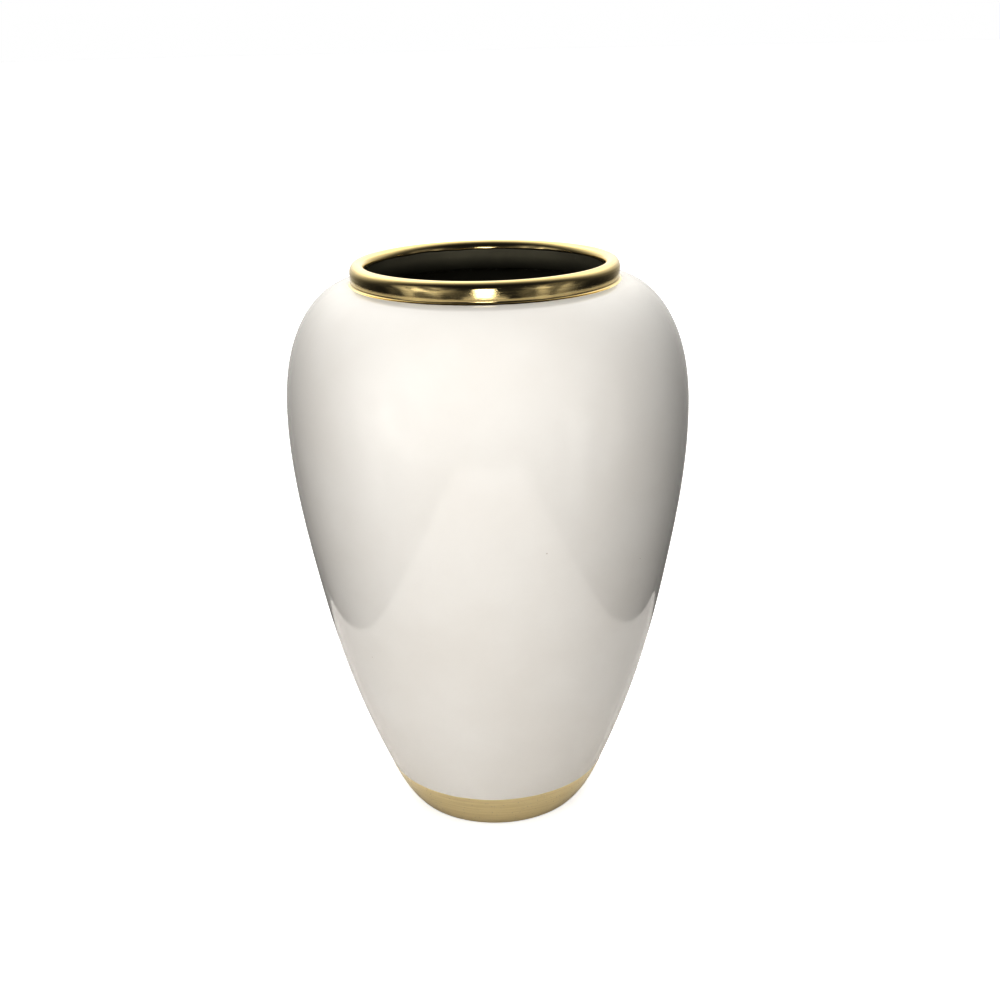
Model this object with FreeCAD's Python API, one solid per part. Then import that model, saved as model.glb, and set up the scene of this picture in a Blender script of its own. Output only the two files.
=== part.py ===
"""A porcelain vase: one fired shell, and the glazes and gold lustre fired onto it.

Millimetres, +Z up, origin at the centre of the plane that the foot rests on.

Every piece is turned: a closed outline in the X-Z plane, revolved about Z. The outlines are all
built from one line, the glazed surface. It starts at the foot, climbs the outside, goes over the
lip and comes down the inside to the middle of the floor, so the air is always on its right.
The clay lies one glaze thickness to its left and the gold lies on its right, which makes every
coat meet the solid under it face to face.
"""

import FreeCAD, Part
import math
import os

# Overall form of the glazed surface
HEIGHT = 288.0
BELLY_RADIUS = 100.0
BELLY_HEIGHT = 211.0
FOOT_RADIUS = 45.5
FOOT_EDGE_HEIGHT = 0.5
BAND_RADIUS = 58.0
BAND_HEIGHT = 22.0

# Collar and mouth
COLLAR_HEIGHT = 10.0
COLLAR_ROOT_RADIUS = 66.4
COLLAR_WAIST_RADIUS = 65.1
COLLAR_RADIUS = 65.5
MOUTH_RADIUS = 58.1
FILLET_HEIGHT = 1.3
LIP_HEIGHT = 4.2
THROAT_HEIGHT = 3.2

# Thicknesses
CLAY = 5.2
GLAZE = 0.4
GILDING = 0.2
FLOOR = 7.0

# Foot ring and the recess inside it
RING_INNER_RADIUS = 37.0
RECESS_HEIGHT = 3.0
RECESS_ROUNDING = 3.2
BARE_HEIGHT = 0.9
RING_ROUNDING = 1.4
RING_FLAT_INNER_RADIUS = RING_INNER_RADIUS + RING_ROUNDING
RING_FLAT_OUTER_RADIUS = 43.6

# Inside of the floor
FLOOR_FLAT_RADIUS = 30.0

# Fullness of a rounded corner: 0.55 is close to a quarter ellipse, more is squarer
ROUND = 0.55
LIP_FULLNESS = 0.62

# Samples along a curve when a parallel curve is laid beside it
PARALLEL_STEPS = 48

ORIGIN = FreeCAD.Vector(0, 0, 0)
UP = FreeCAD.Vector(0, 0, 1)


def point(radius, height):
    """A point of an outline, from its distance to the axis and its height."""
    return FreeCAD.Vector(radius, 0, height)


OUTWARD = point(1, 0)
INWARD = point(-1, 0)
UPWARD = point(0, 1)
DOWNWARD = point(0, -1)


def line(start, end):
    """A straight edge."""
    return Part.LineSegment(start, end).toShape()


def corner(start, leaving, end, arriving, fullness=ROUND):
    """A rounded corner that leaves start and arrives at end along the two given headings."""
    across = end - start
    turn = leaving.x * arriving.z - leaving.z * arriving.x
    reach = (across.x * arriving.z - across.z * arriving.x) / turn
    bend = start + leaving * reach
    curve = Part.BezierCurve()
    curve.setPoles([start, start + (bend - start) * fullness, end + (bend - end) * fullness, end])
    return curve.toShape()


def spline(points):
    """A smooth curve through the points."""
    curve = Part.BSplineCurve()
    curve.interpolate(points)
    return curve


def start_of(edge):
    """The point where an edge of a run begins."""
    return edge.valueAt(edge.ParameterRange[0])


def end_of(edge):
    """The point where an edge of a run ends."""
    return edge.valueAt(edge.ParameterRange[1])


def heading_at_start(edge):
    """The direction in which a run leaves the start of an edge."""
    return edge.tangentAt(edge.ParameterRange[0])


def heading_at_end(edge):
    """The direction in which a run arrives at the end of an edge."""
    return edge.tangentAt(edge.ParameterRange[1])


def beside(edge, distance):
    """The edge parallel to this one at a distance to its right (to its left if negative)."""
    first, last = edge.ParameterRange
    points = []
    for step in range(PARALLEL_STEPS + 1):
        place = first + (last - first) * step / PARALLEL_STEPS
        along = edge.tangentAt(place)
        points.append(edge.valueAt(place) + point(along.z, -along.x) * distance)
    if edge.Curve.TypeId == "Part::GeomLine":
        return line(points[0], points[-1])
    return spline(points).toShape()


def all_beside(run, distance):
    """A whole run of edges moved sideways."""
    return [beside(edge, distance) for edge in run]


def turned(edges):
    """The solid swept by a closed outline once round the axis."""
    outline = Part.Wire(Part.__sortEdges__(edges))
    return Part.Face(outline).revolve(ORIGIN, UP, 360)


def coat(run, distance):
    """The solid between a run of edges and the same run moved sideways by the coat's thickness."""
    moved = all_beside(run, distance)
    first_side = line(start_of(run[0]), start_of(moved[0]))
    last_side = line(end_of(run[-1]), end_of(moved[-1]))
    return turned(run + [last_side] + moved + [first_side])


def wall_curve():
    """The glazed outside of the vase, from the edge of the foot to the root of the collar."""
    points = [
        point(FOOT_RADIUS, FOOT_EDGE_HEIGHT),
        point(51.8, 9.0),
        point(BAND_RADIUS, BAND_HEIGHT),
        point(75.4, 70.0),
        point(91.7, 140.0),
        point(BELLY_RADIUS, BELLY_HEIGHT),
        point(97.4, 241.0),
        point(88.5, 263.0),
        point(78.5, 273.7),
        point(COLLAR_ROOT_RADIUS, HEIGHT - COLLAR_HEIGHT),
    ]
    return spline(points)


def wall_run(curve):
    """The outside wall as two edges: the part under the foot's gold band, and the rest."""
    band_top = curve.parameter(point(BAND_RADIUS, BAND_HEIGHT))
    band = curve.toShape(curve.FirstParameter, band_top)
    rest = curve.toShape(band_top, curve.LastParameter)
    return band, rest


def lip_points():
    """The collar's root, waist and fullest point, the crest of the lip, and both ends of the throat."""
    crest_height = HEIGHT - GILDING
    root = point(COLLAR_ROOT_RADIUS, HEIGHT - COLLAR_HEIGHT)
    waist = point(COLLAR_WAIST_RADIUS, root.z + FILLET_HEIGHT)
    fullest = point(COLLAR_RADIUS, crest_height - LIP_HEIGHT)
    crest = point((COLLAR_RADIUS + MOUTH_RADIUS) / 2, crest_height)
    throat_top = point(MOUTH_RADIUS, fullest.z)
    throat_end = point(MOUTH_RADIUS, throat_top.z - THROAT_HEIGHT)
    return root, waist, fullest, crest, throat_top, throat_end


def collar_run(shoulder_heading):
    """The outside of the collar: fillet from the shoulder, slightly bulging side, round to the crest."""
    root, waist, fullest, crest, _, _ = lip_points()
    # The side is a shallow arc that ends upright, so it starts leaning twice as far as its chord.
    lean = 2 * math.atan2(fullest.x - waist.x, fullest.z - waist.z)
    leaning = point(math.sin(lean), math.cos(lean))
    fillet = corner(root, shoulder_heading, waist, leaning)
    side = corner(waist, leaning, fullest, UPWARD)
    rounding = corner(fullest, UPWARD, crest, INWARD, LIP_FULLNESS)
    return [fillet, side, rounding]


def lip_inside():
    """The lip's inner rounding, from its crest to the throat."""
    _, _, _, crest, throat_top, _ = lip_points()
    return corner(crest, INWARD, throat_top, DOWNWARD, LIP_FULLNESS)


def hollow_run(outer_wall):
    """The glazed inside below the lip: throat, flare under the shoulder, wall and floor."""
    _, _, _, _, throat_top, throat_end = lip_points()
    # The outside is drawn upwards and the hollow downwards, so this curve is turned round.
    inner_wall = beside(outer_wall, -(CLAY + 2 * GLAZE)).Curve
    inner_wall.reverse()
    wall = inner_wall.toShape()
    floor_height = RECESS_HEIGHT + FLOOR
    floor_edge = point(FLOOR_FLAT_RADIUS, floor_height)
    return [
        line(throat_top, throat_end),
        corner(throat_end, DOWNWARD, start_of(wall), heading_at_start(wall)),
        wall,
        corner(end_of(wall), heading_at_end(wall), floor_edge, INWARD),
        line(floor_edge, point(0, floor_height)),
    ]


def recess_run():
    """The glazed recess under the foot, from its middle out and down towards the foot ring."""
    ceiling_end = point(RING_INNER_RADIUS - RECESS_ROUNDING, RECESS_HEIGHT)
    ring_side = point(RING_INNER_RADIUS, BARE_HEIGHT)
    return [
        line(point(0, RECESS_HEIGHT), ceiling_end),
        corner(ceiling_end, OUTWARD, ring_side, DOWNWARD),
    ]


def foot_ring(recess_edge, wall_edge, wall_heading):
    """The bare clay ring that the vase stands on, between the two glazed edges."""
    inner = point(RING_FLAT_INNER_RADIUS, 0)
    outer = point(RING_FLAT_OUTER_RADIUS, 0)
    return [
        corner(recess_edge, DOWNWARD, inner, OUTWARD),
        line(inner, outer),
        corner(outer, OUTWARD, wall_edge, wall_heading),
    ]


def clay_body(glazed, recess):
    """The fired shell: everything between the glazed surface, the recess and the foot ring."""
    upper = all_beside(glazed, -GLAZE)
    under = all_beside(recess, -GLAZE)
    axis = line(end_of(upper[-1]), start_of(under[0]))
    ring = foot_ring(end_of(under[-1]), start_of(upper[0]), heading_at_start(glazed[0]))
    return turned(upper + [axis] + under + ring)


def main():
    """Build the six pieces and write one file for each."""
    band, wall = wall_run(wall_curve())
    collar = collar_run(heading_at_end(wall))
    lip = lip_inside()
    hollow = hollow_run(wall)
    recess = recess_run()
    outside = [band, wall] + collar
    inside = [lip] + hollow
    pieces = {
        "porcelain_body": clay_body(outside + inside, recess),
        "outer_glaze": coat(outside, -GLAZE),
        "inner_glaze": coat(inside, -GLAZE),
        "rim_gilding": coat(collar + [lip], GILDING),
        "foot_gilding": coat([band], GILDING),
        "base_glaze": coat(recess, -GLAZE),
    }
    os.makedirs("parts", exist_ok=True)
    for name, solid in pieces.items():
        solid.exportStep(f"parts/{name}.step")
        box = solid.BoundBox
        print(f"{name}: {solid.Volume / 1000:.2f} cm3, z {box.ZMin:.2f} to {box.ZMax:.2f}, valid {solid.isValid()}")


main()
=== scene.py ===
"""The porcelain vase's visible surfaces, studio and camera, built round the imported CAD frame.

Metres, +Z up, the same frame as the CAD. Every visible piece is turned about Z from one line, the
glazed surface, which runs from the foot up the outside, over the lip and down the inside to the
middle of the floor, so the air is always on its right. A piece takes a stretch of that line and
lies between two depths beside it.
"""

import math

import bmesh
import bpy
import numpy as np
from mathutils import Matrix, Vector, noise


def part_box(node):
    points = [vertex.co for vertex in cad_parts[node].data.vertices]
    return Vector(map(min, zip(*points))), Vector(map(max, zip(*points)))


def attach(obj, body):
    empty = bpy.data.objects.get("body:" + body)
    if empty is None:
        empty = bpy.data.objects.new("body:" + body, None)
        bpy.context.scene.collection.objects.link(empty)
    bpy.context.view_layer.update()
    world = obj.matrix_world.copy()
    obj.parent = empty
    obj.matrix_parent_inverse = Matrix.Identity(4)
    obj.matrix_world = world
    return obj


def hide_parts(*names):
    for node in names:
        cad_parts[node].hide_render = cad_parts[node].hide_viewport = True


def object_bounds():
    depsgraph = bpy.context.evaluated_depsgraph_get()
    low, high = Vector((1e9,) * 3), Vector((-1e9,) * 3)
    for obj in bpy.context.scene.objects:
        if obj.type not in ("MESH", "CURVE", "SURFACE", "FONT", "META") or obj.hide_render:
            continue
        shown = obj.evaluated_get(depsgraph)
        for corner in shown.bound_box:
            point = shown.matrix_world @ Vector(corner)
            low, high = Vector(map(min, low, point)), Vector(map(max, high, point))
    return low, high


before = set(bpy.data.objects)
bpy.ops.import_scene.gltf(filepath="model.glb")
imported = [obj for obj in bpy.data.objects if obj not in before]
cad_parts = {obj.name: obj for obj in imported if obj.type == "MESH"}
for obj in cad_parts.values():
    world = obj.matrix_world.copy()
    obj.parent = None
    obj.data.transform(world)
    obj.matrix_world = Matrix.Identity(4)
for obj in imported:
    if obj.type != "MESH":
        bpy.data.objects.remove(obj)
CAD_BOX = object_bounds()

MM = 0.001

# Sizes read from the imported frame
HEIGHT = CAD_BOX[1].z
BELLY_RADIUS = CAD_BOX[1].x
BAND_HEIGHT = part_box("foot_gilding")[1].z
COLLAR_ROOT_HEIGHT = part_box("rim_gilding")[0].z

# Thicknesses of the solids in the frame
CLAY = 5.2 * MM
GLAZE = 0.4 * MM
GILDING = 0.2 * MM

# The other driving sizes of the outline, as in the CAD part
FOOT_RADIUS = 45.5 * MM
FOOT_EDGE_HEIGHT = 0.5 * MM
BAND_RADIUS = 58.0 * MM
COLLAR_ROOT_RADIUS = 66.4 * MM
COLLAR_WAIST_RADIUS = 65.1 * MM
COLLAR_RADIUS = 65.5 * MM
MOUTH_RADIUS = 58.1 * MM
FILLET_HEIGHT = 1.3 * MM
LIP_HEIGHT = 4.2 * MM
THROAT_HEIGHT = 3.2 * MM
FLOOR_HEIGHT = 10.0 * MM
FLOOR_FLAT_RADIUS = 30.0 * MM
RECESS_HEIGHT = 3.0 * MM
RECESS_ROUNDING = 3.2 * MM
RING_INNER_RADIUS = 37.0 * MM
RING_FLAT_OUTER_RADIUS = 43.6 * MM
BARE_HEIGHT = 0.9 * MM
RING_ROUNDING = 1.4 * MM
LIP_FULLNESS = 0.62
ROUND = 0.55

# How far the real, fired surface wanders from a true circle, and over what distance
WAVER = 0.1 * MM
WAVER_LENGTH = 55 * MM

# Hand-painted gold: the thickness that shows, and how far its edges fade and wander
LUSTRE = 0.12 * MM
LUSTRE_BED = 0.05 * MM
LUSTRE_FADE = 0.5 * MM
BRUSH_LENGTH = 9 * MM

# How far from a coat's edge the wandering of that edge is still felt
WANDER_REACH = 3 * MM

# Facets round the axis, and the angle from which an edge is drawn sharp
SEGMENTS = 192
SHARP_DEGREES = 40

INWARD = np.array((-1.0, 0.0))
OUTWARD = np.array((1.0, 0.0))
UPWARD = np.array((0.0, 1.0))
DOWNWARD = np.array((0.0, -1.0))


# ---------------------------------------------------------------- outlines

def direction(start, end):
    """Unit vector from one point of an outline to another."""
    across = np.array(end) - np.array(start)
    return across / np.hypot(*across)


def corner(start, leaving, end, arriving, fullness=ROUND, steps=40):
    """Points of a rounded corner that leaves start and arrives at end along the two headings."""
    start, end = np.array(start), np.array(end)
    across = end - start
    turn = leaving[0] * arriving[1] - leaving[1] * arriving[0]
    reach = (across[0] * arriving[1] - across[1] * arriving[0]) / turn
    bend = start + leaving * reach
    near_start = start + (bend - start) * fullness
    near_end = end + (bend - end) * fullness
    t = np.linspace(0, 1, steps + 1)[:, None]
    s = 1 - t
    return start * s ** 3 + near_start * 3 * t * s * s + near_end * 3 * t * t * s + end * t ** 3


def smooth_through(points, steps=600):
    """Points of the cubic spline through the given ones.

    Its first two spans are one cubic, and so are its last two.
    """
    points = np.array(points)
    gap = np.hypot(*np.diff(points, axis=0).T)
    chord = np.concatenate(([0], np.cumsum(gap)))
    slope = np.diff(points, axis=0) / gap[:, None]
    count = len(points)
    matrix = np.zeros((count, count))
    known = np.zeros((count, 2))
    for i in range(1, count - 1):
        matrix[i, i - 1:i + 2] = gap[i], 2 * (gap[i - 1] + gap[i]), gap[i - 1]
        known[i] = 3 * (slope[i - 1] * gap[i] + slope[i] * gap[i - 1])
    first, last = gap[0] + gap[1], gap[-1] + gap[-2]
    matrix[0, :2] = gap[1], first
    known[0] = ((gap[0] + 2 * first) * gap[1] * slope[0] + gap[0] ** 2 * slope[1]) / first
    matrix[-1, -2:] = last, gap[-2]
    known[-1] = ((gap[-1] + 2 * last) * gap[-2] * slope[-1] + gap[-1] ** 2 * slope[-2]) / last
    heading = np.linalg.solve(matrix, known)
    place = np.linspace(0, chord[-1], steps + 1)
    span = np.clip(np.searchsorted(chord, place, side="right") - 1, 0, count - 2)
    reach = gap[span][:, None]
    t = (place - chord[span])[:, None] / reach
    s = 1 - t
    return (points[span] * (1 + 2 * t) * s * s + points[span + 1] * (1 + 2 * s) * t * t
            + heading[span] * reach * t * s * s - heading[span + 1] * reach * t * t * s)


def side_of(points, *at):
    """The unit vectors to the right of a dense outline, one for each of its points."""
    along = np.gradient(points, *at, axis=0)
    along /= np.hypot(*along.T)[:, None]
    return np.column_stack((along[:, 1], -along[:, 0]))


def length_of(points):
    """Length of a dense outline."""
    return float(np.hypot(*np.diff(points, axis=0).T).sum())


class Line:
    """A dense outline made of runs, on which a place is given by its length from the start."""

    def __init__(self, runs):
        self.points = np.vstack([runs[0]] + [run[1:] for run in runs[1:]])
        self.at = np.concatenate(([0], np.cumsum(np.hypot(*np.diff(self.points, axis=0).T))))
        self.side = side_of(self.points, self.at)
        self.ends = np.cumsum([length_of(run) for run in runs])

    def beside(self, places, out):
        """Radius and height at these places, moved out to the line's right."""
        spot = [np.interp(places, self.at, self.points[:, k]) for k in (0, 1)]
        side = [np.interp(places, self.at, self.side[:, k]) for k in (0, 1)]
        side = np.array(side) / np.hypot(*side)
        return (np.array(spot) + side * out).T

    def spread(self, start, end, spacings):
        """Places from start to end, where each run of the line has its own spacing."""
        found = [start]
        run_start = 0.0
        for run_end, spacing in zip(self.ends, spacings):
            low, high = max(run_start, start), min(run_end, end)
            if high > low:
                count = max(1, math.ceil((high - low) / spacing))
                found.extend(np.linspace(low, high, count + 1)[1:])
            run_start = run_end
        return np.array(found)

    def place_at_height(self, height, run):
        """The place on one run of the line where it reaches this height."""
        low = self.ends[run - 1] if run else 0.0
        inside = (self.at >= low) & (self.at <= self.ends[run])
        nearest = np.argmin(np.abs(self.points[inside, 1] - height))
        return float(self.at[inside][nearest])


def wall_outline():
    """The glazed outside, from the foot's edge to the root of the collar."""
    return smooth_through([
        (FOOT_RADIUS, FOOT_EDGE_HEIGHT),
        (51.8 * MM, 9.0 * MM),
        (BAND_RADIUS, BAND_HEIGHT),
        (75.4 * MM, 70.0 * MM),
        (91.7 * MM, 140.0 * MM),
        (BELLY_RADIUS, 211.0 * MM),
        (97.4 * MM, 241.0 * MM),
        (88.5 * MM, 263.0 * MM),
        (78.5 * MM, 273.7 * MM),
        (COLLAR_ROOT_RADIUS, COLLAR_ROOT_HEIGHT),
    ])


# The runs of the glazed line, in order
WALL, FILLET, SIDE, ROUNDING, LIP, THROAT, FLARE, HOLLOW, FLOOR_CORNER, FLOOR = range(10)


def glazed_line():
    """The whole glazed surface."""
    wall = wall_outline()
    crest_height = HEIGHT - GILDING
    root = wall[-1]
    waist = np.array((COLLAR_WAIST_RADIUS, root[1] + FILLET_HEIGHT))
    fullest = np.array((COLLAR_RADIUS, crest_height - LIP_HEIGHT))
    crest = np.array(((COLLAR_RADIUS + MOUTH_RADIUS) / 2, crest_height))
    throat_top = np.array((MOUTH_RADIUS, fullest[1]))
    throat_end = throat_top + DOWNWARD * THROAT_HEIGHT
    lean = 2 * math.atan2(fullest[0] - waist[0], fullest[1] - waist[1])
    leaning = np.array((math.sin(lean), math.cos(lean)))
    above_band = wall[wall[:, 1] >= BAND_HEIGHT]
    hollow = (above_band - side_of(above_band) * (CLAY + 2 * GLAZE))[::-1]
    floor_edge = np.array((FLOOR_FLAT_RADIUS, FLOOR_HEIGHT))
    floor_middle = np.array((0.0, FLOOR_HEIGHT))
    return Line([
        wall,
        corner(root, direction(wall[-2], root), waist, leaning),
        corner(waist, leaning, fullest, UPWARD),
        corner(fullest, UPWARD, crest, INWARD, LIP_FULLNESS),
        corner(crest, INWARD, throat_top, DOWNWARD, LIP_FULLNESS),
        np.linspace(throat_top, throat_end, 20),
        corner(throat_end, DOWNWARD, hollow[0], direction(hollow[0], hollow[1])),
        hollow,
        corner(hollow[-1], direction(hollow[-2], hollow[-1]), floor_edge, INWARD),
        np.linspace(floor_edge, floor_middle, 60),
    ])


def recess_line():
    """The glazed recess under the foot, from its middle out and down to the bare ring."""
    ceiling_end = np.array((RING_INNER_RADIUS - RECESS_ROUNDING, RECESS_HEIGHT))
    return Line([
        np.linspace((0.0, RECESS_HEIGHT), ceiling_end, 60),
        corner(ceiling_end, OUTWARD, (RING_INNER_RADIUS, BARE_HEIGHT), DOWNWARD),
    ])


# ---------------------------------------------------------------- turned meshes

def unevenness(radius, height, angle, size, seed=0.0):
    """A smooth random value from about -1 to 1 that closes on itself round the axis."""
    spot = Vector((radius * math.cos(angle), radius * math.sin(angle), height)) / size
    return noise.noise(spot + Vector((seed, seed, seed)))


def waver(spots, angle):
    """How far the fired surface lies inside the true one at these radii and heights."""
    return [WAVER * (0.5 + 0.5 * unevenness(r, z, angle, WAVER_LENGTH)) for r, z in spots]


def turned(name, outline_at):
    """A closed mesh turned about Z from outline_at(angle), an outline that always has as many points.

    The outline is a loop, or it starts and ends on the axis, where the mesh then has its two poles.
    """
    angles = [2 * math.pi * k / SEGMENTS for k in range(SEGMENTS)]
    outlines = [outline_at(angle) for angle in angles]
    rings = len(outlines[0])
    has_poles = outlines[0][0][0] < 1e-9
    mesh = bpy.data.meshes.new(name)
    piece = bpy.data.objects.new(name, mesh)
    bpy.context.scene.collection.objects.link(piece)
    form = bmesh.new()

    def ring(i):
        """One ring of vertices, or a pole."""
        if has_poles and i in (0, rings - 1):
            return [form.verts.new((0, 0, outlines[0][i][1]))] * SEGMENTS
        return [form.verts.new((o[i][0] * math.cos(a), o[i][0] * math.sin(a), o[i][1]))
                for a, o in zip(angles, outlines)]

    loops = [ring(i) for i in range(rings)]
    pairs = list(zip(loops, loops[1:]))
    if not has_poles:
        pairs.append((loops[-1], loops[0]))
    for near, far in pairs:
        for k in range(SEGMENTS):
            after = (k + 1) % SEGMENTS
            around = [near[k], near[after], far[after], far[k]]
            form.faces.new(list(dict.fromkeys(around)))
    bmesh.ops.recalc_face_normals(form, faces=form.faces)
    form.to_mesh(mesh)
    form.free()
    mesh.shade_smooth()
    mesh.set_sharp_from_angle(angle=math.radians(SHARP_DEGREES))
    return piece


def place_on_body(piece, node, material):
    """The piece stands for a CAD node, rides on the vase's one body, and has its finish."""
    piece.data.materials.append(material)
    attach(piece, "root")
    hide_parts(node)


# ---------------------------------------------------------------- the six pieces

# Spacing of the rings on each run of the glazed line: glaze that shows, surfaces that are covered,
# and gold, whose edges need finer rings
VISIBLE = [2.5 * MM, 0.15 * MM, 0.35 * MM, 0.22 * MM, 0.22 * MM, 0.8 * MM, 0.9 * MM, 4 * MM, 2 * MM, 5 * MM]
COVERED = [7 * MM, 0.6 * MM, 0.9 * MM, 0.6 * MM, 0.6 * MM, 1.6 * MM, 2 * MM, 9 * MM, 5 * MM, 10 * MM]
PAINTED = [0.7 * MM, 0.15 * MM, 0.35 * MM, 0.2 * MM, 0.2 * MM, 0.5 * MM, 0.9 * MM, 4 * MM, 2 * MM, 5 * MM]


def clay_body(line, recess):
    """The fired clay: bare at the foot ring and covered everywhere else."""
    over = line.beside(line.spread(0, line.at[-1], COVERED), -GLAZE)
    under = recess.beside(recess.spread(0, recess.at[-1], [6 * MM, 0.6 * MM]), -GLAZE)
    flat_inner = np.array((RING_INNER_RADIUS + RING_ROUNDING, 0.0))
    flat_outer = np.array((RING_FLAT_OUTER_RADIUS, 0.0))
    heading = direction(line.points[0], line.points[1])
    ring = np.vstack((
        corner(under[-1], DOWNWARD, flat_inner, OUTWARD, steps=8)[1:],
        np.linspace(flat_inner, flat_outer, 9)[1:-1],
        corner(flat_outer, OUTWARD, over[0], heading, steps=8)[:-1],
    ))
    outline = np.vstack((under, ring, over))
    return turned("fired_clay_body", lambda angle: outline)


def edge_shift(places, edge, radius, angle, amount, seed):
    """Slides places along the line near one edge of a coat, by as much as that edge wanders here."""
    wander = amount * unevenness(radius, 0.0, angle, BRUSH_LENGTH, seed)
    return places + wander * np.exp(-np.abs(places - edge) / WANDER_REACH)


def glaze_coat(name, line, start, end, wander, seed):
    """A glaze between two places on the line. Its lower edge wanders, as glaze does when it is wiped back."""
    seen = line.spread(start, end, VISIBLE)
    hidden = line.spread(start, end, COVERED)[::-1]

    def outline_at(angle):
        moved = edge_shift(seen, start, FOOT_RADIUS, angle, wander, seed)
        outer = line.beside(moved, -np.array(waver(line.beside(moved, 0), angle)))
        inner = line.beside(hidden, -GLAZE)
        return np.vstack((outer, inner))

    return turned(name, outline_at)


def hollow_coat(name, line, start):
    """The glaze of the inside, from the crest of the lip to the middle of the floor."""
    seen = line.spread(start, line.at[-1], VISIBLE)[::-1]
    hidden = line.spread(start, line.at[-1], COVERED)

    def outline_at(angle):
        outer = line.beside(seen, -np.array(waver(line.beside(seen, 0), angle)))
        outer[0] = 0.0, FLOOR_HEIGHT
        inner = line.beside(hidden, -GLAZE)
        inner[-1] = 0.0, FLOOR_HEIGHT - GLAZE
        return np.vstack((outer, inner))

    return turned(name, outline_at)


def recess_coat(name, recess):
    """The glaze of the recess under the foot."""
    seen = recess.spread(0, recess.at[-1], [3 * MM, 0.3 * MM])
    outer = recess.beside(seen, 0)
    inner = recess.beside(seen[::-1], -GLAZE)
    outline = np.vstack((outer, inner))
    return turned(name, lambda angle: outline)


def gold_coat(name, line, start, end, wander, seed):
    """Gold painted from start to end of the line. It thins out at its edges, which follow the brush."""
    seen = line.spread(start, end, PAINTED)
    hidden = line.spread(start, end, COVERED)[::-1]
    start_radius, end_radius = line.beside(np.array([start, end]), 0)[:, 0]

    def outline_at(angle):
        def moved(places):
            first = edge_shift(places, start, start_radius, angle, wander[0], seed)
            return edge_shift(first, end, end_radius, angle, wander[1], seed + 7)

        places = moved(seen)
        from_edge = np.minimum(places - places[0], places[-1] - places)
        thickness = LUSTRE * np.clip(from_edge / LUSTRE_FADE, 0, 1) ** 0.5
        outer = line.beside(places, thickness - np.array(waver(line.beside(places, 0), angle)))
        under = moved(hidden)
        inner = line.beside(under, -LUSTRE_BED - np.array(waver(line.beside(under, 0), angle)))
        return np.vstack((outer, inner))

    return turned(name, outline_at)


# ---------------------------------------------------------------- materials

def add(tree, kind, inputs=None, **settings):
    """A shader node with its settings, whose inputs are values or other nodes' outputs."""
    node = tree.nodes.new("ShaderNode" + kind)
    for key, value in settings.items():
        setattr(node, key, value)
    for key, value in (inputs or {}).items():
        if isinstance(value, bpy.types.NodeSocket):
            tree.links.new(value, node.inputs[key])
        else:
            node.inputs[key].default_value = value
    return node


def new_material(name):
    """An empty material, its node tree, and the place of a surface point in metres."""
    material = bpy.data.materials.new(name)
    material.use_nodes = True
    tree = material.node_tree
    tree.nodes.clear()
    place = add(tree, "TexCoord").outputs["Object"]
    return material, tree, place


def grain(tree, place, size, detail=2.0, squash=(1, 1, 1), roughness=0.5):
    """Noise from 0 to 1 with features of this size, which can be longer in some directions."""
    scaled = add(tree, "Mapping", {"Vector": place, "Scale": squash})
    noise_node = add(tree, "TexNoise", {
        "Vector": scaled.outputs["Vector"], "Scale": 1 / size, "Detail": detail, "Roughness": roughness})
    return noise_node.outputs["Fac"]


def ranged(tree, value, low, high, to_low=0.0, to_high=1.0):
    """The value mapped smoothly from one range to another, and kept inside it."""
    return add(tree, "MapRange", {
        "Value": value, "From Min": low, "From Max": high, "To Min": to_low, "To Max": to_high},
        interpolation_type="SMOOTHSTEP").outputs["Result"]


def mixed(tree, share, first, second):
    """One colour turning into another as the share goes from 0 to 1."""
    node = tree.nodes.new("ShaderNodeMix")
    node.data_type = "RGBA"
    for socket, value in zip((node.inputs[0], node.inputs[6], node.inputs[7]), (share, first, second)):
        if isinstance(value, bpy.types.NodeSocket):
            tree.links.new(value, socket)
        else:
            socket.default_value = value
    return node.outputs[2]


def times(tree, first, second):
    """The product of two values."""
    return add(tree, "Math", {0: first, 1: second}, operation="MULTIPLY").outputs[0]


def bumped(tree, height, depth, after=None):
    """A surface normal from a height between 0 and 1 over this depth in metres."""
    inputs = {"Height": height, "Strength": 1.0, "Distance": depth}
    if after is not None:
        inputs["Normal"] = after
    return add(tree, "Bump", inputs).outputs["Normal"]


def specks(tree, place, spacing, radius):
    """1 in rare round specks about this large, 0 elsewhere."""
    cells = add(tree, "TexVoronoi", {"Vector": place, "Scale": 1 / spacing})
    edge = radius / spacing
    return ranged(tree, cells.outputs["Distance"], edge * 0.5, edge, 1.0, 0.0)


def shade(tree, colour, gloss, normal, ior, metal=0.0, glow_strength=0.0):
    """The principled surface with these inputs, joined to the material's output."""
    surface = add(tree, "BsdfPrincipled", {
        "Base Color": colour, "Roughness": gloss, "Normal": normal, "IOR": ior, "Metallic": metal,
        "Emission Color": (1.0, 1.0, 1.0, 1), "Emission Strength": glow_strength})
    output = add(tree, "OutputMaterial")
    tree.links.new(surface.outputs["BSDF"], output.inputs["Surface"])


def white_glaze(name, light, deep, speck):
    """Clear glossy glaze over white porcelain: faint clouding, soft ripple and rare firing specks."""
    material, tree, place = new_material(name)
    cloud = ranged(tree, grain(tree, place, 60 * MM, 3.0), 0.3, 0.7)
    dots = specks(tree, place, 19 * MM, 0.30 * MM)
    colour = mixed(tree, dots, mixed(tree, cloud, light, deep), speck)
    gloss = ranged(tree, grain(tree, place, 14 * MM, 4.0), 0.35, 0.7, 0.035, 0.085)
    swell = bumped(tree, grain(tree, place, 9 * MM, 1.0), 0.020 * MM)
    peel = bumped(tree, grain(tree, place, 1.6 * MM, 1.0), 0.0016 * MM, swell)
    shade(tree, colour, gloss, peel, 1.52)
    return material


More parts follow.
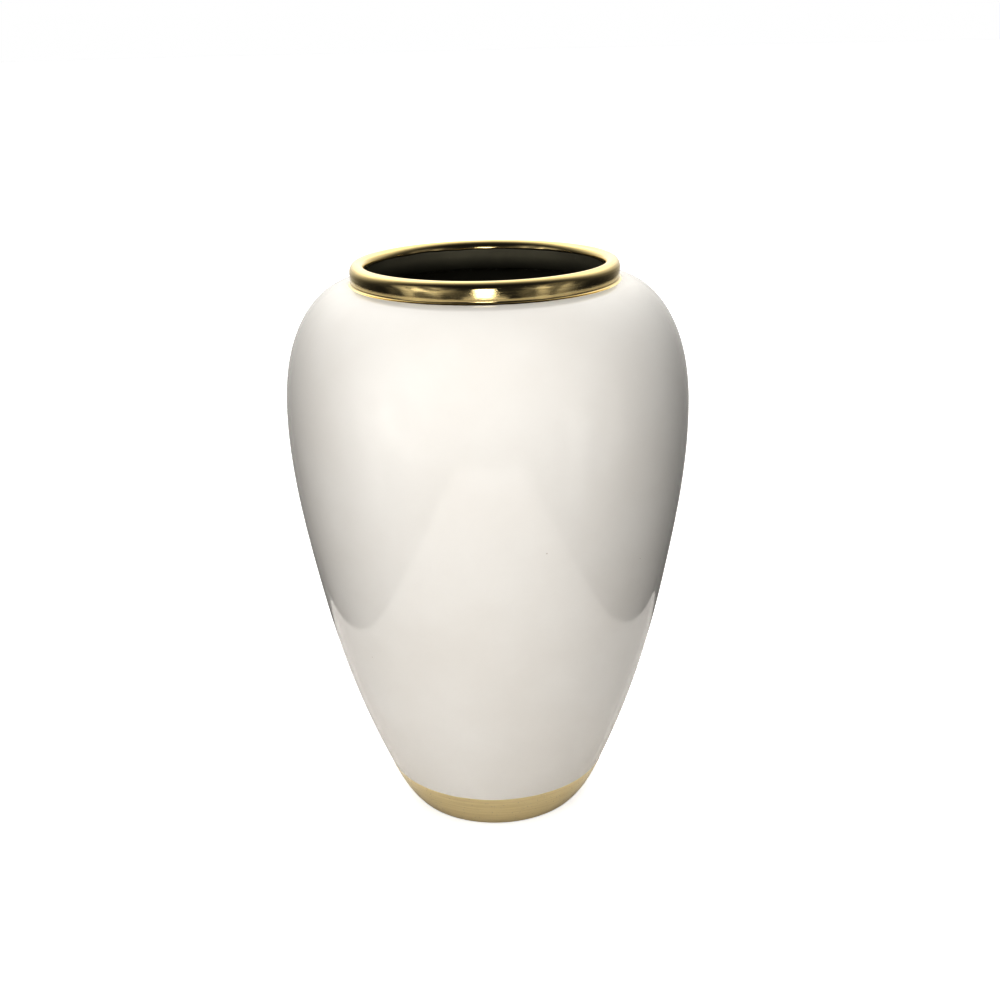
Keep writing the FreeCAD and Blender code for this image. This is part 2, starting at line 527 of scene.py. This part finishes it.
def dark_glaze():
    """Dark olive glaze of the inside, softly clouded, with brighter pinholes."""
    material, tree, place = new_material("dark olive glaze")
    cloud = ranged(tree, grain(tree, place, 25 * MM, 4.0), 0.3, 0.7)
    dots = specks(tree, place, 4 * MM, 0.30 * MM)
    tone = mixed(tree, cloud, (0.165, 0.157, 0.118, 1), (0.210, 0.200, 0.150, 1))
    colour = mixed(tree, dots, tone, (0.30, 0.29, 0.25, 1))
    gloss = ranged(tree, grain(tree, place, 8 * MM, 4.0), 0.35, 0.7, 0.08, 0.22)
    swell = bumped(tree, grain(tree, place, 6 * MM, 2.0), 0.05 * MM)
    shade(tree, colour, gloss, swell, 1.5)
    return material


def gold_lustre(name, bright, deep, wear_share):
    """Burnished gold lustre laid on with a brush: streaks round the vase and worn pinholes."""
    material, tree, place = new_material(name)
    streak = grain(tree, place, 40 * MM, 5.0, (1, 1, 45), 0.6)
    cloud = grain(tree, place, 12 * MM, 3.0)
    tone = mixed(tree, ranged(tree, streak, 0.35, 0.68), bright, deep)
    tone = mixed(tree, times(tree, ranged(tree, cloud, 0.5, 0.8), 0.5), tone, deep)
    worn = times(tree, specks(tree, place, 2.2 * MM, 0.28 * MM), wear_share)
    colour = mixed(tree, worn, tone, (0.55, 0.50, 0.42, 1))
    metal = ranged(tree, worn, 0.2, 0.8, 1.0, 0.0)
    gloss = ranged(tree, streak, 0.3, 0.75, 0.07, 0.20)
    ridges = bumped(tree, grain(tree, place, 18 * MM, 4.0, (1, 1, 40), 0.65), 0.02 * MM)
    swell = bumped(tree, grain(tree, place, 7 * MM, 2.0), 0.03 * MM, ridges)
    shade(tree, colour, gloss, swell, 1.5, metal)
    return material


def bare_porcelain():
    """Unglazed fired clay: matt, finely grained, and greyed where it has stood on tables."""
    material, tree, place = new_material("bare fired porcelain")
    dirt = ranged(tree, grain(tree, place, 7 * MM, 5.0, (1, 1, 1), 0.65), 0.42, 0.72)
    height = add(tree, "SeparateXYZ", {"Vector": place}).outputs["Z"]
    standing = ranged(tree, height, 0.0, 0.5 * MM, 0.75, 0.1)
    colour = mixed(tree, times(tree, dirt, standing), (0.78, 0.74, 0.68, 1), (0.36, 0.31, 0.25, 1))
    skin = bumped(tree, grain(tree, place, 0.5 * MM, 3.0), 0.03 * MM)
    shade(tree, colour, 0.75, skin, 1.45)
    return material


# ---------------------------------------------------------------- studio and camera

# The board that the glaze mirrors: its reach from the axis, its back corners' radius, and its depth
# under the floor
BOARD_SIDE = 0.215
BOARD_BACK = 0.175
BOARD_FRONT = 0.75
BOARD_CORNER = 0.03
BOARD_DEPTH = 0.05 * MM

# The floor that the camera sees: its own glow keeps shadows on it pale
FLOOR_RADIUS = 30.0
FLOOR_GLOW = 0.75

# The window: place and aim in metres, width and height, and watts
WINDOW_PLACE = (-0.02, -1.70, 0.15)
WINDOW_AIM = (0, 0, 0.20)
WINDOW_SIZE = (0.46, 1.10)
WINDOW_POWER = 6.5

# Glows of the studio: azimuth from the camera's side, height above the horizon, strength, tightness
SOFT_LIGHT = [
    (0, 58, 3.2, 8.0),
    (0, 90, 0.5, 4.0),
    (-26, 0, 1.85, 8.0),
    (0, -32, 4.4, 8.0),
    (180, 25, 3.6, 9.0),
    (180, -30, 2.4, 9.0),
]
MIRRORED_ROOM = [
    (180, 50, 0.75, 3.0),
    (180, 12, 0.6, 8.0),
    (-135, 38, 1.25, 7.0),
    (135, 38, 1.0, 7.0),
    (-160, 0, 0.3, 10.0),
    (165, 0, 0.3, 10.0),
]
MIRRORED_CLUTTER = [(-54, -2, 1.3, 14.0), (56, -4, 0.9, 14.0)]
ROOM_BASE = 0.03

CAMERA_PLACE = (0.0, -0.650, 0.3913)
CAMERA_PITCH = 19.30
CAMERA_YAW = 0.43
CAMERA_ROLL = 1.30
LENS = 48.07
DISPLAY_GAMMA = 0.7


def flat_piece(name, outline, height):
    """A flat stage piece with this outline, level at this height."""
    mesh = bpy.data.meshes.new(name)
    mesh.from_pydata([(x, y, 0.0) for x, y in outline], [], [range(len(outline))])
    piece = bpy.data.objects.new(name, mesh)
    bpy.context.scene.collection.objects.link(piece)
    piece.location.z = height
    return piece


def board_outline():
    """A narrow board from behind the vase to well in front of it, with rounded back corners."""
    inner_side, inner_back = BOARD_SIDE - BOARD_CORNER, BOARD_BACK - BOARD_CORNER
    turns = [math.radians(degrees) for degrees in range(0, 91, 10)]
    right = [(inner_side + BOARD_CORNER * math.cos(a), inner_back + BOARD_CORNER * math.sin(a))
             for a in turns]
    left = [(-x, y) for x, y in reversed(right)]
    return [(BOARD_SIDE, -BOARD_FRONT)] + right + left + [(-BOARD_SIDE, -BOARD_FRONT)]


def circle_outline(radius, count=128):
    """A circle round the vase's axis."""
    angles = [2 * math.pi * k / count for k in range(count)]
    return [(radius * math.cos(a), radius * math.sin(a)) for a in angles]


def pale_surface(name, light, deep, glow_strength=0.0):
    """Matt pale board, or one lit from within."""
    material, tree, place = new_material(name)
    tone = mixed(tree, ranged(tree, grain(tree, place, 90 * MM, 3.0), 0.3, 0.7), light, deep)
    skin = bumped(tree, grain(tree, place, 0.6 * MM), 0.01 * MM)
    shade(tree, tone, 0.6, skin, 1.45, glow_strength=glow_strength)
    return material


def board_and_floor():
    """The narrow board that the glaze mirrors, and the wide pale floor that the camera sees in its place."""
    board = flat_piece("board", board_outline(), -BOARD_DEPTH)
    board.data.materials.append(pale_surface("pale board", (0.92, 0.90, 0.88, 1), (0.88, 0.86, 0.84, 1)))
    board.visible_camera = False
    floor = flat_piece("floor", circle_outline(FLOOR_RADIUS), 0.0)
    floor.data.materials.append(
        pale_surface("pale floor", (0.55, 0.55, 0.55, 1), (0.52, 0.52, 0.52, 1), FLOOR_GLOW))
    floor.visible_glossy = False
    floor.visible_diffuse = False
    floor.visible_shadow = False


def window(lit_pieces):
    """A soft rectangular light in front of the vase, that only these pieces mirror."""
    light = bpy.data.lights.new("window", "AREA")
    light.shape = "RECTANGLE"
    light.size, light.size_y = WINDOW_SIZE
    light.energy = WINDOW_POWER
    lamp = bpy.data.objects.new("window", light)
    bpy.context.scene.collection.objects.link(lamp)
    lamp.location = WINDOW_PLACE
    aim = Vector(WINDOW_AIM) - Vector(WINDOW_PLACE)
    lamp.rotation_euler = aim.to_track_quat("-Z", "Y").to_euler()
    lit = bpy.data.collections.new("mirrors the window")
    for piece in lit_pieces:
        lit.objects.link(piece)
    lamp.light_linking.receiver_collection = lit


def glow(tree, way, azimuth, elevation, strength, tightness):
    """A soft round glow in one direction, at an azimuth from the camera's side and a height in degrees."""
    turn, rise = math.radians(azimuth), math.radians(elevation)
    centre = (math.sin(turn) * math.cos(rise), -math.cos(turn) * math.cos(rise), math.sin(rise))
    facing = add(tree, "VectorMath", {0: way, 1: centre}, operation="DOT_PRODUCT").outputs["Value"]
    ahead = add(tree, "Math", {0: facing, 1: 0.0}, operation="MAXIMUM").outputs[0]
    shape = add(tree, "Math", {0: ahead, 1: tightness}, operation="POWER").outputs[0]
    return times(tree, shape, strength)


def total(tree, values):
    """The sum of some values."""
    result = values[0]
    for value in values[1:]:
        result = add(tree, "Math", {0: result, 1: value}, operation="ADD").outputs[0]
    return result


def surroundings():
    """The studio: soft light on matt finishes, a dim room for glossy ones to mirror, and white behind."""
    world = bpy.data.worlds.new("studio")
    bpy.context.scene.world = world
    world.use_nodes = True
    tree = world.node_tree
    tree.nodes.clear()
    way = add(tree, "TexCoord").outputs["Generated"]
    rays = add(tree, "LightPath").outputs
    output = add(tree, "OutputWorld")
    soft = total(tree, [glow(tree, way, *each) for each in SOFT_LIGHT])
    clutter = ranged(tree, grain(tree, way, 0.20, 3.0, (1, 1, 0.6)), 0.44, 0.56, 0.3, 1.1)
    things = times(tree, total(tree, [glow(tree, way, *each) for each in MIRRORED_CLUTTER]), clutter)
    room = total(tree, [glow(tree, way, *each) for each in MIRRORED_ROOM] + [things, ROOM_BASE])
    layers = (("Is Diffuse Ray", soft, (1.0, 0.985, 0.96, 1)),
              ("Is Glossy Ray", room, (1.0, 0.98, 0.94, 1)),
              ("Is Camera Ray", 1.0, (1.0, 1.0, 1.0, 1)))
    shader = None
    for ray, strength, colour in layers:
        part = add(tree, "Background", {"Color": colour, "Strength": times(tree, rays[ray], strength)})
        if shader is None:
            shader = part.outputs[0]
        else:
            shader = add(tree, "AddShader", {0: shader, 1: part.outputs[0]}).outputs[0]
    tree.links.new(shader, output.inputs["Surface"])


def camera():
    """The camera in front of the vase and above it, looking down, turned and tilted a little."""
    data = bpy.data.cameras.new("camera")
    data.lens = LENS
    data.sensor_width = 36.0
    viewer = bpy.data.objects.new("camera", data)
    bpy.context.scene.collection.objects.link(viewer)
    turn = (Matrix.Rotation(math.radians(-CAMERA_YAW), 4, "Z")
            @ Matrix.Rotation(math.radians(90 - CAMERA_PITCH), 4, "X")
            @ Matrix.Rotation(math.radians(-CAMERA_ROLL), 4, "Z"))
    viewer.matrix_world = Matrix.Translation(CAMERA_PLACE) @ turn
    bpy.context.scene.camera = viewer


# ---------------------------------------------------------------- putting it together

def build_vase():
    """All six pieces with their finishes. Gives back the gold rim, which the window lights."""
    line, recess = glazed_line(), recess_line()
    crest = line.ends[ROUNDING]
    root = line.ends[WALL]
    throat = line.ends[LIP]
    band_top = line.place_at_height(BAND_HEIGHT, WALL)
    outside = white_glaze("white porcelain glaze", light=(0.87, 0.86, 0.84, 1), deep=(0.84, 0.825, 0.80, 1),
                          speck=(0.42, 0.36, 0.30, 1))
    # The recess under the foot has the outer white glaze painted darker, its specks too: painted shade in the
    # hollow
    under = white_glaze("white glaze with painted shade in the recess", light=(0.80, 0.79, 0.76, 1), deep=(0.74, 0.73, 0.70, 1),
                        speck=(0.16, 0.13, 0.10, 1))
    rim_gold = gold_lustre("gold lustre of the rim", (0.91, 0.77, 0.45, 1), (0.78, 0.64, 0.35, 1), 0.4)
    # The foot band is real gold lustre like the rim's, painted paler and brighter than it: a painted
    # highlight standing in for the light it mirrors from the board
    brightened_band_gold = gold_lustre("gold lustre of the foot band, painted brighter", (0.96, 0.85, 0.57, 1), (0.88, 0.77, 0.50, 1), 1.0)
    gold_rim = gold_coat("gold_rim", line, root, throat, (0.12 * MM, 0.5 * MM), 3.0)
    gold_band = gold_coat("gold_foot_band", line, 0.0, band_top, (0.1 * MM, 0.25 * MM), 5.0)
    place_on_body(clay_body(line, recess), "porcelain_body", bare_porcelain())
    place_on_body(glaze_coat("white_outer_glaze", line, 0.0, crest, 0.12 * MM, 2.0),
                  "outer_glaze", outside)
    place_on_body(hollow_coat("dark_inner_glaze", line, crest), "inner_glaze", dark_glaze())
    place_on_body(gold_rim, "rim_gilding", rim_gold)
    place_on_body(gold_band, "foot_gilding", brightened_band_gold)
    place_on_body(recess_coat("recess_glaze", recess), "base_glaze", under)
    return gold_rim


gilded_rim = build_vase()
board_and_floor()
surroundings()
window([gilded_rim])
camera()
bpy.context.scene.view_settings.view_transform = "Standard"
bpy.context.scene.view_settings.gamma = DISPLAY_GAMMA
